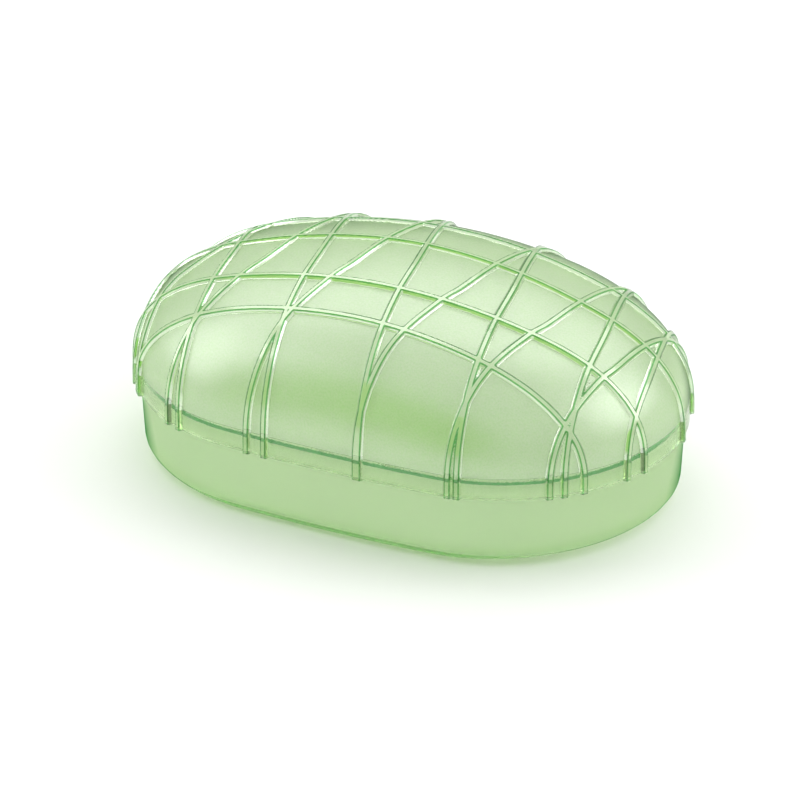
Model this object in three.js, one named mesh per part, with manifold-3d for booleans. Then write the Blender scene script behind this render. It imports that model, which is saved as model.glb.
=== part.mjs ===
// Oval soap dish in two moulded pieces: a shallow base, and a domed lid with a raised lattice of ribs.
// Millimetres, +Z up, +X along the length. The origin is the middle of the base's underside.

import * as THREE from 'three';
import { mergeVertices } from 'three/addons/utils/BufferGeometryUtils.js';
import Module from 'manifold-3d';

// Outline of the lid's edge, seen from above: two round ends joined by two bowed sides
const LENGTH = 110;
const WIDTH = 73;
const SIDE_RADIUS = 370;

// Lid: a crowned top that turns down into the wall over a wide round shoulder
const DOME_TOP = 43.7;
const CROWN_RADIUS_X = 112;
const CROWN_RADIUS_Y = 64.5;
const SHOULDER_WIDTH = 19.5;
const SHOULDER_POWER = 3.25;
const LID_WALL = 1.3;

// Base: a step carries the lid's edge, and a thinner lip rises inside the lid
const STEP_HEIGHT = 14.8;
const LID_OVERHANG = 0.9;
const WALL_DRAFT = 0.6;
const BOTTOM_ROUND = 3.5;
const END_TUCK = 7;
const FLOOR_THICKNESS = 2;
const LIP_RISE = 2.8;
const LIP_THICKNESS = 1.5;

// Fits between the lid and the base
const SEAT_GAP = 0.2;
const LIP_CLEARANCE = 0.2;

// Drain ribs that keep the soap off the base's floor
const DRAIN_RIB_COUNT = 5;
const DRAIN_RIB_PITCH = 14;
const DRAIN_RIB_LENGTH = 38;
const DRAIN_RIB_WIDTH = 2.4;
const DRAIN_RIB_HEIGHT = 1.6;

// Lattice ribs of the lid
const RIB_WIDTH = 2;
const RIB_HEIGHT = 0.8;

// The lattice in plan, in shares of the lid's size: u in halves of the length, v in halves of the width.
// Ribs along the length: v at the left end, halfway along and at the right end
const LONG_RIBS = [
  [-0.647, -0.595, -0.63], [-0.378, -0.332, -0.29], [-0.014, 0.14, 0.104], [0.301, 0.479, 0.411],
];

// Ribs across the width: u where each crosses the middle line, and the sweep that they share.
// A sweep lists [v, shift along u], and runs past the lid's outline at both ends.
const CROSS_RIBS = [-0.936, -0.671, -0.324, 0.036, 0.395, 0.738, 0.907];
const CROSS_SWEEP = [[1.23, -0.2], [0.55, -0.087], [0, 0], [-0.41, 0.036], [-0.99, 0.091], [-1.23, 0.115]];

// Slanted ribs, as [u where it crosses the middle line, how strongly it follows the shared sweep]
const SLANT_RIBS = [[-0.473, 1.25], [-0.142, 1.1], [0.269, 1.04], [0.593, 0.98], [0.842, 0.65]];
const SLANT_SWEEP = [[1.23, 0.073], [0, 0], [-0.33, -0.047], [-0.74, -0.119], [-1.23, -0.165]];

// The last slanted rib bends round the left end
const END_RIB = -0.745;
const END_SWEEP = [[1.23, 0.273], [0, 0], [-0.274, -0.087], [-0.493, -0.096], [-1.23, -0.036]];

// Facets
const END_STEPS = 14;
const SIDE_STEPS = 4;
const SHOULDER_STEPS = 7;
const CROWN_STEPS = 3;
const ROUND_STEPS = 4;
const CAP_STEPS = 6;
const RIB_SIDES = 6;
const RIB_STEP = 6;
const RIB_SAMPLES = 200;
const CROSSING_HALVINGS = 30;

// How far a cutting shape runs past what it cuts
const OVERCUT = 1;

const LID_COLOUR = 0xbfdfa6;
const BASE_COLOUR = 0xb6da9c;

const halfLength = LENGTH / 2;
const halfWidth = WIDTH / 2;
const endRadius = (2 * SIDE_RADIUS * halfWidth - halfWidth ** 2 - halfLength ** 2)
  / (2 * (SIDE_RADIUS - halfLength));
const endCentre = halfLength - endRadius;
const sideCentre = SIDE_RADIUS - halfWidth;
const lidEdge = STEP_HEIGHT + SEAT_GAP;

// A rib is the part of a round rod that stands out of the dome
const ribRadius = (RIB_WIDTH ** 2 / 4 + RIB_HEIGHT ** 2) / (2 * RIB_HEIGHT);
const ribSink = ribRadius - RIB_HEIGHT;

const wasm = await Module();
wasm.setup();

// Stations round the outline, anticlockwise: each has its arc's centre and radius, and its angle
function outlineStations() {
  const join = Math.atan2(sideCentre, endCentre);
  const arcs = [
    { x: endCentre, y: 0, radius: endRadius, from: -join, to: join, steps: END_STEPS },
    { x: 0, y: -sideCentre, radius: SIDE_RADIUS, from: join, to: Math.PI - join, steps: SIDE_STEPS },
    { x: -endCentre, y: 0, radius: endRadius, from: -Math.PI - join, to: join - Math.PI, steps: END_STEPS },
    { x: 0, y: sideCentre, radius: SIDE_RADIUS, from: join - Math.PI, to: -join, steps: SIDE_STEPS },
  ];
  return arcs.flatMap(({ from, to, steps, ...arc }) =>
    Array.from({ length: steps }, (_, step) => ({ ...arc, angle: from + ((to - from) * step) / steps })));
}

const stations = outlineStations();

// A closed ring of points, drawn in by inset from the lid's outline, at a height given or worked out
function ring(inset, height) {
  return stations.map(({ x, y, radius, angle }) => {
    const point = new THREE.Vector3(
      x + (radius - inset) * Math.cos(angle),
      y + (radius - inset) * Math.sin(angle),
    );
    point.z = typeof height === 'function' ? height(point.x, point.y) : height;
    return point;
  });
}

// The line that closes a face: the outline drawn in until its two sides meet on the middle line
function spine(height) {
  return ring(endRadius, 0).map(({ x }) =>
    new THREE.Vector3(x, 0, typeof height === 'function' ? height(x, 0) : height));
}

// Skin over a list of rings, from the spine below to the spine above
function loft(rings) {
  const count = stations.length;
  const index = [];
  for (let row = 0; row + 1 < rings.length; row += 1) {
    for (let i = 0; i < count; i += 1) {
      const here = row * count + i;
      const next = row * count + ((i + 1) % count);
      index.push(here, next, next + count, here, next + count, here + count);
    }
  }
  const geometry = new THREE.BufferGeometry().setFromPoints(rings.flat());
  geometry.setIndex(index);
  return geometry;
}

// A closed body that can be joined to others and cut by them
function solid(geometry) {
  geometry.deleteAttribute('normal');
  geometry.deleteAttribute('uv');
  const merged = mergeVertices(geometry);
  const corners = merged.index.array;
  const triVerts = [];
  for (let i = 0; i < corners.length; i += 3) {
    const [a, b, c] = corners.slice(i, i + 3);
    if (a !== b && b !== c && c !== a) triVerts.push(a, b, c);
  }
  return new wasm.Manifold(new wasm.Mesh({
    numProp: 3,
    vertProperties: new Float32Array(merged.attributes.position.array),
    triVerts: new Uint32Array(triVerts),
  }));
}

function pieceMesh(name, manifold, colour) {
  const { vertProperties, triVerts } = manifold.getMesh();
  const geometry = new THREE.BufferGeometry();
  geometry.setAttribute('position', new THREE.BufferAttribute(new Float32Array(vertProperties), 3));
  geometry.setIndex(new THREE.BufferAttribute(new Uint32Array(triVerts), 1));
  const material = new THREE.MeshStandardMaterial({
    color: colour, roughness: 0.3, metalness: 0, transparent: true, opacity: 0.8, flatShading: true,
  });
  const mesh = new THREE.Mesh(geometry, material);
  mesh.name = name;
  return mesh;
}

// How far a point in plan lies inside the lid's outline
function insideOutline({ x, y }) {
  const pastEnd = Math.abs(x) - endCentre;
  const onEnd = Math.abs(y) * endCentre <= pastEnd * sideCentre;
  if (onEnd) return endRadius - Math.hypot(pastEnd, y);
  return SIDE_RADIUS - Math.hypot(x, Math.abs(y) + sideCentre);
}

// Height of the crowned top, before the shoulder turns it down
function crownHeight(x, y, thickness) {
  return DOME_TOP + thickness - x ** 2 / (2 * CROWN_RADIUS_X) - y ** 2 / (2 * CROWN_RADIUS_Y);
}

// Height of the lid's dome, grown outwards by a thickness or shrunk if it is negative
function domeHeight(x, y, thickness) {
  const depth = insideOutline({ x, y }) + thickness;
  const outward = THREE.MathUtils.clamp(1 - depth / (SHOULDER_WIDTH + thickness), 0, 1);
  const rise = (1 - outward ** SHOULDER_POWER) ** (1 / SHOULDER_POWER);
  return lidEdge + (crownHeight(x, y, thickness) - lidEdge) * rise;
}

// A solid filled up from a floor to the dome grown by a thickness
function dome(thickness, floor) {
  const height = (x, y) => domeHeight(x, y, thickness);
  const shoulder = SHOULDER_WIDTH + thickness;
  const rings = [spine(floor), ring(-thickness, floor)];
  for (let step = floor < lidEdge ? 0 : 1; step <= SHOULDER_STEPS; step += 1) {
    const turn = (Math.PI / 2) * (step / SHOULDER_STEPS);
    const drawnIn = shoulder * (1 - Math.cos(turn) ** (2 / SHOULDER_POWER));
    rings.push(ring(drawnIn - thickness, height));
  }
  for (let step = 1; step < CROWN_STEPS; step += 1) {
    rings.push(ring(SHOULDER_WIDTH + ((endRadius - SHOULDER_WIDTH) * step) / CROWN_STEPS, height));
  }
  rings.push(spine(height));
  return solid(loft(rings));
}

// The lines of all the ribs in plan, each running past the lid's outline at both ends
function ribLines() {
  const long = LONG_RIBS.map(([left, middle, right]) =>
    [[-2, left], [-1, left], [0, middle], [1, right], [2, right]]);
  const swept = (middle, sweep, strength = 1) => sweep.map(([v, shift]) => [middle + strength * shift, v]);
  const lines = [
    ...long,
    ...CROSS_RIBS.map((middle) => swept(middle, CROSS_SWEEP)),
    ...SLANT_RIBS.map(([middle, strength]) => swept(middle, SLANT_SWEEP, strength)),
    swept(END_RIB, END_SWEEP),
  ];
  return lines.map((line) =>
    new THREE.SplineCurve(line.map(([u, v]) => new THREE.Vector2(u * halfLength, v * halfWidth))));
}

// Where a rib's line in plan crosses the outline, between a place outside it and a place inside it
function crossing(line, outside, inside) {
  for (let halving = 0; halving < CROSSING_HALVINGS; halving += 1) {
    const middle = (outside + inside) / 2;
    if (insideOutline(line.getPoint(middle)) < ribSink) outside = middle;
    else inside = middle;
  }
  return inside;
}

// A rod that follows the dome's surface under a line in plan, from the lid's edge up and down again
function ribRod(line) {
  const places = Array.from({ length: RIB_SAMPLES + 1 }, (_, i) => i / RIB_SAMPLES);
  const within = places.filter((place) => insideOutline(line.getPoint(place)) > ribSink);
  const start = crossing(line, within.at(0) - 1 / RIB_SAMPLES, within.at(0));
  const end = crossing(line, within.at(-1) + 1 / RIB_SAMPLES, within.at(-1));
  const points = places.map((place) => {
    const { x, y } = line.getPoint(start + (end - start) * (1 - Math.cos(Math.PI * place)) / 2);
    return new THREE.Vector3(x, y, domeHeight(x, y, -ribSink));
  });
  const below = new THREE.Vector3(0, 0, -RIB_WIDTH);
  points.unshift(points.at(0).clone().add(below));
  points.push(points.at(-1).clone().add(below));
  const extrudePath = new THREE.CatmullRomCurve3(points);
  extrudePath.arcLengthDivisions = points.length * 2;
  const section = new THREE.Shape().absarc(0, 0, ribRadius, 0, 2 * Math.PI);
  const steps = Math.ceil(extrudePath.getLength() / RIB_STEP);
  return solid(new THREE.ExtrudeGeometry(section, { extrudePath, steps, curveSegments: RIB_SIDES / 2 }));
}

function buildLid() {
  const rods = ribLines().map(ribRod).reduce((all, rod) => all.add(rod));
  const ribs = rods.intersect(dome(RIB_WIDTH, lidEdge));
  const lid = dome(0, lidEdge).add(ribs).subtract(dome(-LID_WALL, lidEdge - OVERCUT));
  return pieceMesh('lid', lid, LID_COLOUR);
}

// The round bottom edge of the base, from its flat face up: the ends are tucked in further than the sides
function bottomEdge(inset, floor) {
  return Array.from({ length: ROUND_STEPS + 1 }, (_, step) => {
    const turn = (Math.PI / 2) * (step / ROUND_STEPS);
    const drawnIn = 1 - Math.sin(turn);
    const height = floor + BOTTOM_ROUND * (1 - Math.cos(turn));
    const narrowing = 1 - (END_TUCK * drawnIn) / halfLength;
    return ring(inset + WALL_DRAFT + BOTTOM_ROUND * drawnIn, height)
      .map((point) => point.setX(point.x * narrowing));
  });
}

function drainRib(x) {
  const radius = DRAIN_RIB_WIDTH / 2;
  const reach = DRAIN_RIB_LENGTH / 2 - radius;
  const shape = new THREE.Shape();
  shape.absarc(x, reach, radius, 0, Math.PI);
  shape.absarc(x, -reach, radius, Math.PI, 2 * Math.PI);
  const sunk = FLOOR_THICKNESS / 2;
  const depth = sunk + DRAIN_RIB_HEIGHT;
  const settings = { depth, bevelEnabled: false, curveSegments: CAP_STEPS };
  const geometry = new THREE.ExtrudeGeometry(shape, settings);
  geometry.translate(0, 0, FLOOR_THICKNESS - sunk);
  return solid(geometry);
}

function buildBase() {
  const lipOutside = LID_WALL + LIP_CLEARANCE;
  const inside = lipOutside + LIP_THICKNESS;
  const lipTop = STEP_HEIGHT + LIP_RISE;
  const shell = solid(loft([
    spine(0),
    ...bottomEdge(LID_OVERHANG, 0),
    ring(LID_OVERHANG, STEP_HEIGHT),
    ring(lipOutside, STEP_HEIGHT),
    ring(lipOutside, lipTop),
    ring(inside, lipTop),
    ring(inside, STEP_HEIGHT),
    ...bottomEdge(inside, FLOOR_THICKNESS).reverse(),
    spine(FLOOR_THICKNESS),
  ]));
  const middle = (DRAIN_RIB_COUNT - 1) / 2;
  const drainRibs = Array.from({ length: DRAIN_RIB_COUNT }, (_, i) =>
    drainRib((i - middle) * DRAIN_RIB_PITCH));
  return pieceMesh('base', drainRibs.reduce((base, rib) => base.add(rib), shell), BASE_COLOUR);
}

const soapDish = new THREE.Group();
soapDish.add(buildBase(), buildLid());

export default soapDish;
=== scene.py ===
import math
import bmesh
import bpy
import numpy as np
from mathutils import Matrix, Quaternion, Vector
from mathutils.kdtree import KDTree


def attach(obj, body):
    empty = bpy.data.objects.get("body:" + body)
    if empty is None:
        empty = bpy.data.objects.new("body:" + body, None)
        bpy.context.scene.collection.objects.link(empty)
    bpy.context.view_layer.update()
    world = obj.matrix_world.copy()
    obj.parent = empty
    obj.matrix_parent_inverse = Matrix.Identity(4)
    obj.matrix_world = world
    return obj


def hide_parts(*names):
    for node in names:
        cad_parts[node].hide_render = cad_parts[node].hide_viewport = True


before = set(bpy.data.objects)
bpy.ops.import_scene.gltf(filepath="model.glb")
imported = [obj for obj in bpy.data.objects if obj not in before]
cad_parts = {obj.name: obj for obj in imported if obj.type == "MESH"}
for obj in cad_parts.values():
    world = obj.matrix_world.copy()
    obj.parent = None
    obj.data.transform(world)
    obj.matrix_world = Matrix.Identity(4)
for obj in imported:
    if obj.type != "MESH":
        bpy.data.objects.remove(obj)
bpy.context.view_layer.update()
print("frame loaded:", ", ".join(sorted(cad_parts)))

scene = bpy.context.scene
scene.view_settings.view_transform = "Standard"
mm = 0.001  # shapes are worked out in millimetres and stored in metres


def linear(hexColour):
    parts = [int(hexColour[i:i + 2], 16) / 255 for i in (1, 3, 5)]
    return [p / 12.92 if p <= 0.04045 else ((p + 0.055) / 1.055) ** 2.4 for p in parts] + [1.0]


def addNode(tree, kind, settings, links=None):
    node = tree.nodes.new(kind)
    for name, value in settings.items():
        if name in node.inputs:
            node.inputs[name].default_value = value
        else:
            setattr(node, name, value)
    for name, socket in (links or {}).items():
        tree.links.new(socket, node.inputs[name])
    return node


def meshFrom(bm, name):
    mesh = bpy.data.meshes.new(name)
    bm.to_mesh(mesh)
    bm.free()
    return mesh


def startMaterial(name):
    material = bpy.data.materials.new(name)
    material.use_nodes = True
    material.node_tree.nodes.clear()
    return material, material.node_tree


def finishPiece(name, mesh, body, node, material):
    piece = bpy.data.objects.new(name, mesh)
    scene.collection.objects.link(piece)
    mesh.materials.append(material)
    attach(piece, body)
    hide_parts(node)
    mesh.calc_loop_triangles()
    print(name, "made:", len(mesh.loop_triangles), "triangles")


# the oval of the lid's edge, seen from above: two round ends joined by two bowed sides
oval = {"length": 110, "width": 73, "sideRadius": 370}
halfLength = oval["length"] / 2
halfWidth = oval["width"] / 2
endRadius = ((2 * oval["sideRadius"] * halfWidth - halfWidth ** 2 - halfLength ** 2)
             / (2 * (oval["sideRadius"] - halfLength)))
endCentre = halfLength - endRadius
sideCentre = oval["sideRadius"] - halfWidth


def insideOval(x, y):
    pastEnd = np.abs(x) - endCentre
    onEnd = np.abs(y) * endCentre <= pastEnd * sideCentre
    onSide = oval["sideRadius"] - np.hypot(x, np.abs(y) + sideCentre)
    return np.where(onEnd, endRadius - np.hypot(pastEnd, y), onSide)


def ovalReach(angle, inset):
    # how far the oval, drawn in by an inset, lies from the middle along each direction
    across, along = np.sin(angle) * halfWidth, np.cos(angle) * halfLength
    size = np.hypot(along, across)
    along, across = along / size, across / size
    low, high = np.zeros_like(angle), np.full_like(angle, oval["length"])
    for halving in range(40):
        middle = (low + high) / 2
        inside = insideOval(along * middle, across * middle) > inset
        low, high = np.where(inside, middle, low), np.where(inside, high, middle)
    return along * low, across * low


# lid
lidShape = {
    "edge": 15.0, "top": 43.7, "crownX": 112, "crownY": 64.5,
    "shoulder": 19.5, "power": 3.25, "wall": 1.3, "seatTop": 19.3, "seatFade": 0.2,
    "outerCells": 138, "innerCells": 56, "fineCuts": 2,
    "spreadSteps": 400, "spreadReach": 45.0, "spreadBend": 30.0, "spreadRise": 22,  # for the spacing of cells
    "normalStep": 0.002,
}
lidRibs = {
    "height": 0.75, "roundHalf": 0.27, "flatHalf": 0.52, "footHalf": 0.9, "fineBand": 1.1, "spacing": 0.12,
    "polishFade": 0.1, "flankFade": 0.15, "paintedCornerLineFade": 0.1,
    "splineSteps": 900, "margin": 0.002, "tail": 2,
    # the lattice in plan: u in halves of the length, v in halves of the width
    "long": [[-0.647, -0.595, -0.63], [-0.378, -0.332, -0.29],
             [-0.014, 0.14, 0.104], [0.301, 0.479, 0.411]],
    "cross": [-0.936, -0.671, -0.324, 0.036, 0.395, 0.738, 0.907],
    "crossSweep": [[1.23, -0.2], [0.55, -0.087], [0, 0], [-0.41, 0.036], [-0.99, 0.091], [-1.23, 0.115]],
    "slant": [[-0.473, 1.25], [-0.142, 1.1], [0.269, 1.04], [0.593, 0.98], [0.842, 0.65]],
    "slantSweep": [[1.23, 0.073], [0, 0], [-0.33, -0.047], [-0.74, -0.119], [-1.23, -0.165]],
    "end": -0.745,
    "endSweep": [[1.23, 0.273], [0, 0], [-0.274, -0.087], [-0.493, -0.096], [-1.23, -0.036]],
}


def domeHeight(x, y, grow):
    depth = insideOval(x, y) + grow
    outward = np.clip(1 - depth / (lidShape["shoulder"] + grow), 0, 1)
    rise = (1 - outward ** lidShape["power"]) ** (1 / lidShape["power"])
    crown = lidShape["top"] + grow - x ** 2 / (2 * lidShape["crownX"]) - y ** 2 / (2 * lidShape["crownY"])
    return lidShape["edge"] + (crown - lidShape["edge"]) * rise


def evenSpread():
    # shares of the way from the middle to the edge that are evenly spaced along the dome's section
    reach = lidShape["spreadReach"]
    turn = np.linspace(0, 1, lidShape["spreadSteps"]) ** 2 * math.pi / 2
    depth = lidShape["shoulder"] * (1 - np.cos(turn) ** (2 / lidShape["power"]))
    depth = np.append(depth, [lidShape["spreadBend"], reach])
    x = reach - depth
    z = lidShape["spreadRise"] * np.append(np.sin(turn) ** (2 / lidShape["power"]), [1.0, 1.0])
    steps = np.hypot(np.diff(x[::-1]), np.diff(z[::-1]))
    run = np.concatenate([[0], np.cumsum(steps)])
    return run / run[-1], x[::-1] / reach


spreadRun, spreadShare = evenSpread()


def domePoint(rho, angle, grow):
    edgeX, edgeY = ovalReach(angle, -grow)
    share = np.interp(rho, spreadRun, spreadShare)
    x, y = edgeX * share, edgeY * share
    return np.stack([x, y, domeHeight(x, y, grow)], axis=1)


def squareToPolar(u, v):
    rho = np.maximum(np.abs(u), np.abs(v))
    steep = np.abs(v) > np.abs(u)
    ratio = np.where(steep, u, v) / np.where(rho == 0, 1, np.where(steep, v, u))
    angle = np.where(steep, math.pi / 2 - ratio * math.pi / 4, ratio * math.pi / 4)
    return rho, np.where(np.where(steep, v, u) < 0, angle + math.pi, angle)


def splineThrough(points, count):
    points = np.array(points, float)
    ends = np.concatenate([points[:1], points, points[-1:]])
    t = np.linspace(0, 1, count, endpoint=False)[:, None]
    runs = []
    for a, b, c, d in zip(ends, ends[1:], ends[2:], ends[3:]):
        slopeB, slopeC = (c - a) / 2, (d - b) / 2
        runs.append((2 * b - 2 * c + slopeB + slopeC) * t ** 3
                    + (3 * c - 3 * b - 2 * slopeB - slopeC) * t ** 2 + slopeB * t + b)
    return np.concatenate(runs)


def latticeLines():
    lines = [[[-2, left], [-1, left], [0, middle], [1, right], [2, right]]
             for left, middle, right in lidRibs["long"]]
    lines += [[[u + shift, v] for v, shift in lidRibs["crossSweep"]] for u in lidRibs["cross"]]
    lines += [[[u + pull * shift, v] for v, shift in lidRibs["slantSweep"]] for u, pull in lidRibs["slant"]]
    lines.append([[lidRibs["end"] + shift, v] for v, shift in lidRibs["endSweep"]])
    found = []
    for line in lines:
        plan = splineThrough(line, lidRibs["splineSteps"]) * [halfLength, halfWidth]
        plan = plan[insideOval(plan[:, 0], plan[:, 1]) > lidRibs["margin"]]
        path = np.column_stack([plan, domeHeight(plan[:, 0], plan[:, 1], 0)])
        low = lidShape["edge"] - lidRibs["tail"]
        first, last = path[0] * [1, 1, 0] + [0, 0, low], path[-1] * [1, 1, 0] + [0, 0, low]
        path = np.concatenate([[first], path, [last]])
        run = np.concatenate([[0], np.cumsum(np.linalg.norm(np.diff(path, axis=0), axis=1))])
        even = np.arange(0, run[-1], lidRibs["spacing"])
        found.append(np.stack([np.interp(even, run, path[:, i]) for i in range(3)], axis=1))
    return np.concatenate(found)


latticePoints = latticeLines()
latticeTree = KDTree(len(latticePoints))
for i, point in enumerate(latticePoints):
    latticeTree.insert(point, i)
latticeTree.balance()
print("lattice:", len(latticePoints), "points along the ribs")


def ribDistance(points):
    return np.array([latticeTree.find(p)[2] for p in points])


def placeOnDome(verts, grow):
    square = np.array([v.co for v in verts])
    rho, angle = squareToPolar(square[:, 0], square[:, 1])
    return rho, angle, domePoint(rho, angle, grow)


def shadeFromDome(mesh):
    # the outside is shaded from the plain dome, and the material raises the ribs, so their edges stay crisp
    dome = np.zeros(len(mesh.vertices) * 3)
    mesh.attributes["dome"].data.foreach_get("vector", dome)
    dome = dome.reshape(-1, 3)
    normals = np.zeros((len(mesh.loops), 3))
    for face in mesh.polygons:
        corners = dome[list(face.vertices)]
        if np.all(np.any(corners != 0, axis=1)):
            normals[list(face.loop_indices)] = corners
    mesh.normals_split_custom_set(normals.tolist())
    mesh.attributes.remove(mesh.attributes["dome"])


def makeLid(material):
    bm = bmesh.new()
    bmesh.ops.create_grid(bm, x_segments=lidShape["outerCells"], y_segments=lidShape["outerCells"], size=1)
    bm.verts.ensure_lookup_table()
    near = ribDistance(placeOnDome(bm.verts, 0)[2]) < lidRibs["fineBand"]
    fine = {e for f in bm.faces if any(near[v.index] for v in f.verts) for e in f.edges}
    bmesh.ops.subdivide_edges(bm, edges=list(fine), cuts=lidShape["fineCuts"], use_grid_fill=True)
    bm.verts.index_update()
    bm.verts.ensure_lookup_table()
    rho, angle, points = placeOnDome(bm.verts, 0)
    step = lidShape["normalStep"]
    outward = points - domePoint(np.maximum(rho - step, 0), angle, 0)
    turned = domePoint(rho, angle + step, 0) - domePoint(rho, angle - step, 0)
    normal = np.cross(outward, turned)
    size = np.linalg.norm(normal, axis=1)
    normal = np.where(size[:, None] > 1e-9, normal / np.maximum(size, 1e-9)[:, None], [0, 0, 1])
    distance = ribDistance(points)
    flank = (lidRibs["footHalf"] - distance) / (lidRibs["footHalf"] - lidRibs["flatHalf"])
    rise = np.clip(flank, 0, 1) * lidRibs["height"]
    rib = bm.verts.layers.float.new("rib")
    innerShare = bm.verts.layers.float.new("inner")
    dome = bm.verts.layers.float_vector.new("dome")
    for v, p, n, d in zip(bm.verts, points + normal * rise[:, None], normal, distance):
        v.co = Vector(p) * mm
        v[rib] = d
        v[dome] = Vector(n)
    outerRim = [e for e in bm.edges if e.is_boundary]

    cells = lidShape["innerCells"]
    innerVerts = bmesh.ops.create_grid(bm, x_segments=cells, y_segments=cells, size=1)["verts"]
    for v, p in zip(innerVerts, placeOnDome(innerVerts, -lidShape["wall"])[2]):
        v.co = Vector(p) * mm
        v[rib] = lidRibs["fineBand"]
        v[innerShare] = 1.0
    innerFaces = list({f for v in innerVerts for f in v.link_faces})
    bmesh.ops.reverse_faces(bm, faces=innerFaces)
    innerRim = [e for f in innerFaces for e in f.edges if e.is_boundary]
    for e in outerRim + innerRim:
        e.smooth = False
    for f in bm.faces:
        f.smooth = True
    bmesh.ops.bridge_loops(bm, edges=outerRim + innerRim)
    if bm.calc_volume(signed=True) < 0:
        bmesh.ops.reverse_faces(bm, faces=bm.faces[:])
    mesh = meshFrom(bm, "lid_shell")
    shadeFromDome(mesh)
    finishPiece("lid_shell", mesh, "lid", "lid", material)


# base
baseShape = {
    "step": 14.8, "overhang": 0.9, "draft": 0.6, "bottomRound": 3.5, "endTuck": 7.0, "floor": 2.0,
    "lipRise": 2.8, "lipThickness": 1.5, "lipClearance": 0.2, "edgeRound": 0.24, "footTop": 2.4,
    "stations": 320, "roundSteps": 10, "edgeSteps": 3, "levelMargin": 0.001, "sharpFrom": 35,
}
drainRibs = {
    "count": 5, "pitch": 14, "length": 38, "width": 2.4, "height": 1.6, "sunk": 0.8, "round": 0.6,
    "endSegments": 32, "roundSteps": 4,
}


def arc(inset, height, radius, start, steps):
    # a quarter round in the wall's section, turning from start degrees
    turns = [math.radians(start + 90 * i / steps) for i in range(steps + 1)]
    return [(inset - radius * math.cos(t), height + radius * math.sin(t), 0.0) for t in turns]


def bottomEdge(inset, floor):
    rows = []
    for i in range(baseShape["roundSteps"] + 1):
        turn = math.pi / 2 * i / baseShape["roundSteps"]
        drawnIn = 1 - math.sin(turn)
        rows.append((inset + baseShape["draft"] + baseShape["bottomRound"] * drawnIn,
                     floor + baseShape["bottomRound"] * (1 - math.cos(turn)),
                     baseShape["endTuck"] * drawnIn))
    return rows


def baseRows():
    lipOutside = lidShape["wall"] + baseShape["lipClearance"]
    inside = lipOutside + baseShape["lipThickness"]
    lipTop = baseShape["step"] + baseShape["lipRise"]
    r, steps = baseShape["edgeRound"], baseShape["edgeSteps"]
    return (bottomEdge(baseShape["overhang"], 0)
            + arc(baseShape["overhang"] + r / 2, baseShape["step"] - r / 2, r / 2, 0, steps)
            + [(lipOutside, baseShape["step"], 0.0)]
            + arc(lipOutside + r, lipTop - r, r, 0, steps)
            + arc(inside - r, lipTop - r, r, 90, steps)
            + [(inside, baseShape["step"], 0.0)]
            + bottomEdge(inside, baseShape["floor"])[::-1])


def drainRibMesh():
    bm = bmesh.new()
    innerShare = bm.verts.layers.float.new("inner")
    radius = drainRibs["width"] / 2
    reach = drainRibs["length"] / 2 - radius
    for i in range(drainRibs["count"]):
        x = (i - (drainRibs["count"] - 1) / 2) * drainRibs["pitch"]
        made = bmesh.ops.create_circle(bm, segments=drainRibs["endSegments"], radius=radius * mm,
                                       cap_ends=True)["verts"]
        for v in made:
            v.co.y += math.copysign(reach, v.co.y) * mm
        bmesh.ops.translate(bm, verts=made, vec=Vector((x, 0, baseShape["floor"] - drainRibs["sunk"])) * mm)
    top = bmesh.ops.extrude_face_region(bm, geom=bm.faces[:])["geom"]
    topVerts = [g for g in top if isinstance(g, bmesh.types.BMVert)]
    rise = drainRibs["height"] + drainRibs["sunk"]
    bmesh.ops.translate(bm, verts=topVerts, vec=Vector((0, 0, rise)) * mm)
    topEdges = [e for e in bm.edges if all(v in topVerts for v in e.verts)]
    bmesh.ops.bevel(bm, geom=topEdges, offset=drainRibs["round"] * mm, segments=drainRibs["roundSteps"],
                    profile=0.5, affect="EDGES", material=-1)
    bmesh.ops.recalc_face_normals(bm, faces=bm.faces[:])
    for v in bm.verts:
        v[innerShare] = 1.0
    for f in bm.faces:
        f.smooth = True
    return meshFrom(bm, "drain_ribs")


def joinToShell(shell, added):
    # the drain ribs are moulded in one with the floor of the base
    shellObject = bpy.data.objects.new("shell", shell)
    addedObject = bpy.data.objects.new("added", added)
    for helper in (shellObject, addedObject):
        scene.collection.objects.link(helper)
    join = shellObject.modifiers.new("join", "BOOLEAN")
    join.operation = "UNION"
    join.solver = "EXACT"
    join.object = addedObject
    evaluated = shellObject.evaluated_get(bpy.context.evaluated_depsgraph_get())
    joined = bpy.data.meshes.new_from_object(evaluated)
    for helper in (shellObject, addedObject):
        bpy.data.objects.remove(helper)
    return joined


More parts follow.
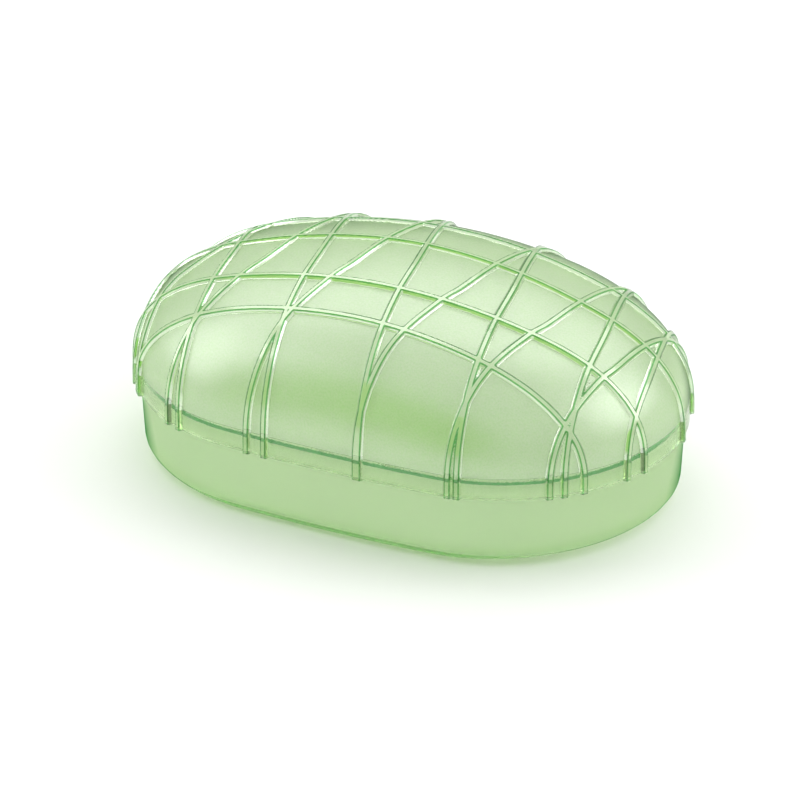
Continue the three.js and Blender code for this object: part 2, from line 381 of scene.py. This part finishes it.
def makeBase(material):
    bm = bmesh.new()
    station = bm.verts.layers.int.new("station")
    lip = bm.verts.layers.float.new("lip")
    rim = bm.verts.layers.float.new("rim")
    foot = bm.verts.layers.float.new("foot")
    innerShare = bm.verts.layers.float.new("inner")
    count = baseShape["stations"]
    circle = bmesh.ops.create_circle(bm, segments=count, radius=1)["verts"]
    angle = np.arange(count) * 2 * math.pi / count
    for i, v in enumerate(circle):
        v[station] = i
    edges = bm.edges[:]
    rows = baseRows()
    innerFrom = len(rows) - baseShape["roundSteps"] - 2
    lipTop = baseShape["step"] + baseShape["lipRise"]
    margin = baseShape["levelMargin"]
    for row, (inset, height, tuck) in enumerate(rows):
        if row:
            made = bmesh.ops.extrude_edge_only(bm, edges=edges)["geom"]
            edges = [g for g in made if isinstance(g, bmesh.types.BMEdge)]
        x, y = ovalReach(angle, inset)
        x = x * (1 - tuck / halfLength)
        ring = {v for e in edges for v in e.verts}
        for v in ring:
            i = v[station]
            v.co = Vector((x[i], y[i], height)) * mm
            v[innerShare] = float(row >= innerFrom)
            v[foot] = float(row < innerFrom and 0 < height < baseShape["footTop"])
            v[lip] = float(height > lipTop - margin)
            v[rim] = float(lipTop - baseShape["edgeRound"] + margin < height < lipTop - margin)
    rims = [e for e in bm.edges if e.is_boundary]
    bmesh.ops.holes_fill(bm, edges=rims, sides=0)
    bmesh.ops.recalc_face_normals(bm, faces=bm.faces[:])
    if bm.calc_volume(signed=True) < 0:
        bmesh.ops.reverse_faces(bm, faces=bm.faces[:])
    for f in bm.faces:
        f.smooth = len(f.verts) == 4
    for e in bm.edges:
        if e.is_manifold and e.calc_face_angle() > math.radians(baseShape["sharpFrom"]):
            e.smooth = False
    mesh = joinToShell(meshFrom(bm, "base_shell"), drainRibMesh())
    finishPiece("base_shell", mesh, "base", "base", material)


# pearl polypropylene, injection moulded and tinted all through: a longer way through it is a deeper green.
# Its edge-on colour is painted shade: a deeper green painted where the wall is seen edge on
plastic = {"ior": 1.49, "colour": "#ffffff", "flake": "#f3f8f1", "edgeOnShade": "#14602f", "gloss": 0.5}

# the mould was blasted between the ribs, so the panels are satin and the pearl in them gives a broad sheen,
# while the ribs and the seat were polished: clear, with flanks that mirror the studio as thin lines.
# The blasted grain is about 0.1 mm and is drawn coarser, so that its sparkle shows
# the corner colour is painted shade: a darker green line along each rib's top edges
lidFinish = {
    "tint": "#d3fd6c", "density": 180.0, "edgeFrom": 0.7, "edgeTo": 1.0, "paintedCornerLineColour": "#4fa862",
    "panelRough": 0.36, "ribRough": 0.12, "seatRough": 0.06, "innerRough": 0.3,
    "pearl": 0.49, "ribPearl": 0.2, "flankPearl": 0.55, "seatPearl": 0.03,
    "milk": 0.58, "ribMilk": 0.15, "seatMilk": 0.05, "footMilk": 0.2,
    "grain": 0.35, "grainDepth": 0.05, "grainStrength": 0.6, "flakeFrom": 0.35, "flakeTo": 0.65,
}


def makeLidPlastic():
    material, tree = startMaterial("pearlPolypropyleneLid")
    place = addNode(tree, "ShaderNodeTexCoord", {})
    rib = addNode(tree, "ShaderNodeAttribute", {"attribute_name": "rib"})
    inner = addNode(tree, "ShaderNodeAttribute", {"attribute_name": "inner"})

    height = addNode(tree, "ShaderNodeSeparateXYZ", {}, {"Vector": place.outputs["Object"]})
    seat = addNode(tree, "ShaderNodeMapRange",
                   {"From Min": (lidShape["seatTop"] + lidShape["seatFade"]) * mm,
                    "From Max": lidShape["seatTop"] * mm},
                   {"Value": height.outputs["Z"]})

    # the ribs' section, from the distance to their middle line: a rounded top and two steep flanks
    section = addNode(tree, "ShaderNodeMapRange",
                      {"From Min": lidRibs["footHalf"], "From Max": lidRibs["roundHalf"],
                       "interpolation_type": "SMOOTHSTEP"}, {"Value": rib.outputs["Fac"]})
    polish = addNode(tree, "ShaderNodeMapRange",
                     {"From Min": lidRibs["footHalf"] + lidRibs["polishFade"],
                      "From Max": lidRibs["footHalf"]},
                     {"Value": rib.outputs["Fac"]})
    flankOut = addNode(tree, "ShaderNodeMapRange",
                       {"From Min": lidRibs["footHalf"],
                        "From Max": lidRibs["footHalf"] - lidRibs["flankFade"]},
                       {"Value": rib.outputs["Fac"]})
    flank = addNode(tree, "ShaderNodeMapRange",
                    {"From Min": lidRibs["flatHalf"],
                     "From Max": lidRibs["flatHalf"] + lidRibs["flankFade"]},
                    {"Value": rib.outputs["Fac"], "To Max": flankOut.outputs["Result"]})
    # painted shade: the mask of the darker green line along the ribs' top edges
    paintedCornerLineIn = addNode(tree, "ShaderNodeMapRange",
                       {"From Min": lidRibs["roundHalf"],
                        "From Max": lidRibs["roundHalf"] + lidRibs["paintedCornerLineFade"]},
                       {"Value": rib.outputs["Fac"]})
    paintedCornerLine = addNode(tree, "ShaderNodeMapRange",
                     {"From Min": lidRibs["flatHalf"] + lidRibs["paintedCornerLineFade"],
                      "From Max": lidRibs["flatHalf"]},
                     {"Value": rib.outputs["Fac"], "To Max": paintedCornerLineIn.outputs["Result"]})
    grain = addNode(tree, "ShaderNodeTexNoise", {"Scale": 1 / (lidFinish["grain"] * mm), "Detail": 2.0},
                    {"Vector": place.outputs["Object"]})
    relief = addNode(tree, "ShaderNodeMapRange", {"To Min": lidFinish["grainStrength"], "To Max": 0.0},
                     {"Value": polish.outputs["Result"]})
    blasted = addNode(tree, "ShaderNodeBump", {"Distance": lidFinish["grainDepth"] * mm},
                      {"Height": grain.outputs["Fac"], "Strength": relief.outputs["Result"]})
    surface = addNode(tree, "ShaderNodeBump", {"Distance": lidRibs["height"] * mm},
                      {"Height": section.outputs["Result"], "Normal": blasted.outputs["Normal"]})

    # satin panels, smoother inside, polished ribs and seat
    panel = addNode(tree, "ShaderNodeMapRange",
                    {"To Min": lidFinish["panelRough"], "To Max": lidFinish["innerRough"]},
                    {"Value": inner.outputs["Fac"]})
    ribbed = addNode(tree, "ShaderNodeMapRange", {"To Max": lidFinish["ribRough"]},
                     {"Value": polish.outputs["Result"], "To Min": panel.outputs["Result"]})
    rough = addNode(tree, "ShaderNodeMapRange", {"To Max": lidFinish["seatRough"]},
                    {"Value": seat.outputs["Result"], "To Min": ribbed.outputs["Result"]})

    # pearl and milk in the wall
    ribSheen = addNode(tree, "ShaderNodeMapRange",
                       {"To Min": lidFinish["pearl"], "To Max": lidFinish["ribPearl"]},
                       {"Value": polish.outputs["Result"]})
    flankSheen = addNode(tree, "ShaderNodeMapRange", {"To Max": lidFinish["flankPearl"]},
                         {"Value": flank.outputs["Result"], "To Min": ribSheen.outputs["Result"]})
    pearl = addNode(tree, "ShaderNodeMapRange", {"To Max": lidFinish["seatPearl"]},
                    {"Value": seat.outputs["Result"], "To Min": flankSheen.outputs["Result"]})
    ribCloud = addNode(tree, "ShaderNodeMapRange",
                       {"To Min": lidFinish["milk"], "To Max": lidFinish["ribMilk"]},
                       {"Value": polish.outputs["Result"]})
    seatCloud = addNode(tree, "ShaderNodeMapRange",
                        {"To Min": lidFinish["seatMilk"], "To Max": lidFinish["footMilk"]},
                        {"Value": polish.outputs["Result"]})
    cloud = addNode(tree, "ShaderNodeMapRange", {},
                    {"Value": seat.outputs["Result"], "To Min": ribCloud.outputs["Result"],
                     "To Max": seatCloud.outputs["Result"]})

    # painted shade: a darker green line is painted along each rib between its rounded top and its flanks, and
    # the wall, seen edge on, is painted a deeper green; both stand in for the dark lines that the clear ribs
    # and the rims show
    facing = addNode(tree, "ShaderNodeLayerWeight", {"Blend": 0.5}, {"Normal": surface.outputs["Normal"]})
    edgeOnShade = addNode(tree, "ShaderNodeMapRange",
                     {"From Min": lidFinish["edgeFrom"], "From Max": lidFinish["edgeTo"]},
                     {"Value": facing.outputs["Facing"]})
    flakes = addNode(tree, "ShaderNodeMapRange",
                     {"From Min": lidFinish["flakeFrom"], "From Max": lidFinish["flakeTo"]},
                     {"Value": grain.outputs["Fac"]})
    flakeShare = addNode(tree, "ShaderNodeMapRange", {"To Max": 0.0},
                         {"Value": polish.outputs["Result"], "To Min": flakes.outputs["Result"]})
    outside = addNode(tree, "ShaderNodeMapRange", {"To Max": 0.0},
                      {"Value": inner.outputs["Fac"], "To Min": flakeShare.outputs["Result"]})
    grained = addNode(tree, "ShaderNodeMix", {"data_type": "RGBA"}, {"Factor": outside.outputs["Result"]})
    grained.inputs[6].default_value = linear(plastic["colour"])
    grained.inputs[7].default_value = linear(plastic["flake"])
    lined = addNode(tree, "ShaderNodeMix", {"data_type": "RGBA"}, {"Factor": paintedCornerLine.outputs["Result"]})
    tree.links.new(grained.outputs[2], lined.inputs[6])
    lined.inputs[7].default_value = linear(lidFinish["paintedCornerLineColour"])
    # painted shade: the colour turns a deeper green where the surface is seen edge on
    colour = addNode(tree, "ShaderNodeMix", {"data_type": "RGBA"}, {"Factor": edgeOnShade.outputs["Result"]})
    tree.links.new(lined.outputs[2], colour.inputs[6])
    colour.inputs[7].default_value = linear(plastic["edgeOnShade"])
    clear = addNode(tree, "ShaderNodeBsdfPrincipled", {"IOR": plastic["ior"], "Transmission Weight": 1.0},
                    {"Base Color": colour.outputs[2], "Roughness": rough.outputs["Result"],
                     "Metallic": pearl.outputs["Result"], "Normal": surface.outputs["Normal"]})
    milk = addNode(tree, "ShaderNodeBsdfTranslucent", {},
                   {"Color": colour.outputs[2], "Normal": surface.outputs["Normal"]})
    wall = addNode(tree, "ShaderNodeMixShader", {}, {"Fac": cloud.outputs["Result"]})
    tree.links.new(clear.outputs["BSDF"], wall.inputs[1])
    tree.links.new(milk.outputs["BSDF"], wall.inputs[2])
    absorb = addNode(tree, "ShaderNodeVolumeAbsorption",
                     {"Color": linear(lidFinish["tint"]), "Density": lidFinish["density"]})
    addNode(tree, "ShaderNodeOutputMaterial", {},
            {"Surface": wall.outputs["Shader"], "Volume": absorb.outputs["Volume"]})
    return material


# the base came out of a finely blasted mould: a milky wall with little pearl, and a polished foot. The flat
# top of the lip is painted a deep green, opaque and matt: painted shade for the light the lip leads away down
# the wall. It lies between two polished rounds that catch the light
baseFinish = {
    "tint": "#d6fba8", "density": 80.0, "lipShadeColour": "#00a04c", "footColour": "#f4faec",
    # the edge colour is painted shade: a deeper green painted where the wall is seen edge on
    "edgeFrom": 0.7, "edgeTo": 0.95, "edgeShadeColour": "#34a452",
    "wallRough": 0.36, "lipRough": 0.12, "footRough": 0.15, "innerRough": 0.4,
    "pearl": 0.04, "rimPearl": 0.8, "milk": 0.84, "footMilk": 0.35,
    "grain": 0.35, "grainDepth": 0.05, "grainStrength": 0.3,
}


def makeBasePlastic():
    material, tree = startMaterial("pearlPolypropyleneBase")
    place = addNode(tree, "ShaderNodeTexCoord", {})
    lip = addNode(tree, "ShaderNodeAttribute", {"attribute_name": "lip"})
    rim = addNode(tree, "ShaderNodeAttribute", {"attribute_name": "rim"})
    foot = addNode(tree, "ShaderNodeAttribute", {"attribute_name": "foot"})
    inner = addNode(tree, "ShaderNodeAttribute", {"attribute_name": "inner"})
    grain = addNode(tree, "ShaderNodeTexNoise", {"Scale": 1 / (baseFinish["grain"] * mm), "Detail": 2.0},
                    {"Vector": place.outputs["Object"]})
    bump = addNode(tree, "ShaderNodeBump",
                   {"Distance": baseFinish["grainDepth"] * mm, "Strength": baseFinish["grainStrength"]},
                   {"Height": grain.outputs["Fac"]})
    panel = addNode(tree, "ShaderNodeMapRange",
                    {"To Min": baseFinish["wallRough"], "To Max": baseFinish["innerRough"]},
                    {"Value": inner.outputs["Fac"]})
    footed = addNode(tree, "ShaderNodeMapRange", {"To Max": baseFinish["footRough"]},
                     {"Value": foot.outputs["Fac"], "To Min": panel.outputs["Result"]})
    rough = addNode(tree, "ShaderNodeMapRange", {"To Max": baseFinish["lipRough"]},
                    {"Value": lip.outputs["Fac"], "To Min": footed.outputs["Result"]})
    footCloud = addNode(tree, "ShaderNodeMapRange",
                        {"To Min": baseFinish["milk"], "To Max": baseFinish["footMilk"]},
                        {"Value": foot.outputs["Fac"]})
    cloud = addNode(tree, "ShaderNodeMapRange", {"To Max": 0.0},
                    {"Value": lip.outputs["Fac"], "To Min": footCloud.outputs["Result"]})
    pearl = addNode(tree, "ShaderNodeMapRange",
                    {"To Min": baseFinish["pearl"], "To Max": baseFinish["rimPearl"]},
                    {"Value": rim.outputs["Fac"]})
    footTint = addNode(tree, "ShaderNodeMix", {"data_type": "RGBA"}, {"Factor": foot.outputs["Fac"]})
    footTint.inputs[6].default_value = linear(plastic["colour"])
    footTint.inputs[7].default_value = linear(baseFinish["footColour"])

    # painted shade: the outside of the wall, seen edge on, is painted a deeper green
    facing = addNode(tree, "ShaderNodeLayerWeight", {"Blend": 0.5})
    outside = addNode(tree, "ShaderNodeMapRange", {"To Min": 1.0, "To Max": 0.0},
                      {"Value": inner.outputs["Fac"]})
    edgeOnShade = addNode(tree, "ShaderNodeMapRange",
                     {"From Min": baseFinish["edgeFrom"], "From Max": baseFinish["edgeTo"]},
                     {"Value": facing.outputs["Facing"], "To Max": outside.outputs["Result"]})
    outlined = addNode(tree, "ShaderNodeMix", {"data_type": "RGBA"}, {"Factor": edgeOnShade.outputs["Result"]})
    tree.links.new(footTint.outputs[2], outlined.inputs[6])
    outlined.inputs[7].default_value = linear(baseFinish["edgeShadeColour"])
    colour = addNode(tree, "ShaderNodeMix", {"data_type": "RGBA"}, {"Factor": lip.outputs["Fac"]})
    tree.links.new(outlined.outputs[2], colour.inputs[6])
    colour.inputs[7].default_value = linear(baseFinish["lipShadeColour"])

    # painted shade: the lip's top lets no light through and has no gloss, so its painted deep green shows as
    # a dark line
    seeThrough = addNode(tree, "ShaderNodeMapRange", {"To Min": 1.0, "To Max": 0.0},
                         {"Value": lip.outputs["Fac"]})
    gloss = addNode(tree, "ShaderNodeMapRange", {"To Min": plastic["gloss"], "To Max": 0.0},
                    {"Value": lip.outputs["Fac"]})
    clear = addNode(tree, "ShaderNodeBsdfPrincipled", {"IOR": plastic["ior"]},
                    {"Base Color": colour.outputs[2], "Roughness": rough.outputs["Result"],
                     "Metallic": pearl.outputs["Result"], "Normal": bump.outputs["Normal"],
                     "Transmission Weight": seeThrough.outputs["Result"],
                     "Specular IOR Level": gloss.outputs["Result"]})
    milk = addNode(tree, "ShaderNodeBsdfTranslucent", {},
                   {"Color": colour.outputs[2], "Normal": bump.outputs["Normal"]})
    wall = addNode(tree, "ShaderNodeMixShader", {}, {"Fac": cloud.outputs["Result"]})
    tree.links.new(clear.outputs["BSDF"], wall.inputs[1])
    tree.links.new(milk.outputs["BSDF"], wall.inputs[2])
    absorb = addNode(tree, "ShaderNodeVolumeAbsorption",
                     {"Color": linear(baseFinish["tint"]), "Density": baseFinish["density"]})
    addNode(tree, "ShaderNodeOutputMaterial", {},
            {"Surface": wall.outputs["Shader"], "Volume": absorb.outputs["Volume"]})
    return material


makeLid(makeLidPlastic())
makeBase(makeBasePlastic())

# floor, light and camera: a pale tent with softboxes above and on both sides, and a green card behind the
# camera, which the front of the lid mirrors
studio = {
    "floorColour": "#eeeeee", "floorSize": (8, 8), "floorCells": 8, "floorDrop": 0.0001, "cardCells": 2,
    "tentFoot": 0.68, "tentTop": 0.95, "tentRise": 0.75, "aim": (0, 0, 0.02),
    "card": {"at": (-0.25, -1.7, 0.8), "size": (1.9, 1.5), "colour": "#a2e468"},
    "softboxes": {
        "overhead": {"at": (-0.15, 0.42, 0.7), "size": (1.2, 0.6), "power": 3.0},
        "left": {"at": (-0.65, -0.17, 0.4), "size": (0.55, 0.55), "power": 1.75},
        "right": {"at": (0.62, 0.28, 0.42), "size": (0.55, 0.55), "power": 2.1},
    },
}


def stagePanel(name, colour, size, cells):
    material, tree = startMaterial(name)
    matt = addNode(tree, "ShaderNodeBsdfDiffuse", {"Color": linear(colour)})
    addNode(tree, "ShaderNodeOutputMaterial", {}, {"Surface": matt.outputs["BSDF"]})
    bm = bmesh.new()
    bmesh.ops.create_grid(bm, x_segments=cells, y_segments=cells, size=0.5)
    bmesh.ops.scale(bm, verts=bm.verts[:], vec=(size[0], size[1], 1))
    panel = bpy.data.objects.new(name, meshFrom(bm, name))
    panel.data.materials.append(material)
    scene.collection.objects.link(panel)
    return panel


def makeStage():
    floor = stagePanel("paleFloor", studio["floorColour"], studio["floorSize"], studio["floorCells"])
    floor.location.z = -studio["floorDrop"]
    card = stagePanel("greenCard", studio["card"]["colour"], studio["card"]["size"], studio["cardCells"])
    card.location = studio["card"]["at"]
    card.rotation_euler = (Vector(studio["aim"]) - card.location).to_track_quat("Z", "Y").to_euler()
    card.visible_camera = False


def makeLights():
    world = bpy.data.worlds.new("studio")
    scene.world = world
    world.use_nodes = True
    tree = world.node_tree
    tree.nodes.clear()
    place = addNode(tree, "ShaderNodeTexCoord", {})
    parts = addNode(tree, "ShaderNodeSeparateXYZ", {}, {"Vector": place.outputs["Generated"]})
    tent = addNode(tree, "ShaderNodeMapRange",
                   {"From Max": studio["tentRise"],
                    "To Min": studio["tentFoot"], "To Max": studio["tentTop"]},
                   {"Value": parts.outputs["Z"]})
    sky = addNode(tree, "ShaderNodeBackground", {"Color": (1, 1, 1, 1)},
                  {"Strength": tent.outputs["Result"]})
    addNode(tree, "ShaderNodeOutputWorld", {}, {"Surface": sky.outputs["Background"]})
    for name, softbox in studio["softboxes"].items():
        lamp = bpy.data.lights.new(name, "AREA")
        lamp.shape = "RECTANGLE"
        lamp.size, lamp.size_y = softbox["size"]
        lamp.energy = softbox["power"]
        box = bpy.data.objects.new(name, lamp)
        box.location = softbox["at"]
        box.rotation_euler = (Vector(studio["aim"]) - box.location).to_track_quat("-Z", "Y").to_euler()
        box.visible_camera = False
        scene.collection.objects.link(box)


view = {
    "at": (0.4312, -0.8771, 0.5249), "aim": (0.00025, -0.00533, 0.01543), "roll": -0.154, "lens": 259.06,
    "sensor": 36, "clipStart": 0.05,
}


def makeCamera():
    data = bpy.data.cameras.new("camera")
    data.lens = view["lens"]
    data.sensor_width = view["sensor"]
    data.clip_start = view["clipStart"]
    camera = bpy.data.objects.new("camera", data)
    camera.location = view["at"]
    camera.rotation_mode = "QUATERNION"
    towards = (Vector(view["aim"]) - camera.location).to_track_quat("-Z", "Y")
    camera.rotation_quaternion = towards @ Quaternion((0, 0, 1), math.radians(view["roll"]))
    scene.collection.objects.link(camera)
    scene.camera = camera


makeStage()
makeLights()
makeCamera()
print("floor, light and camera set")
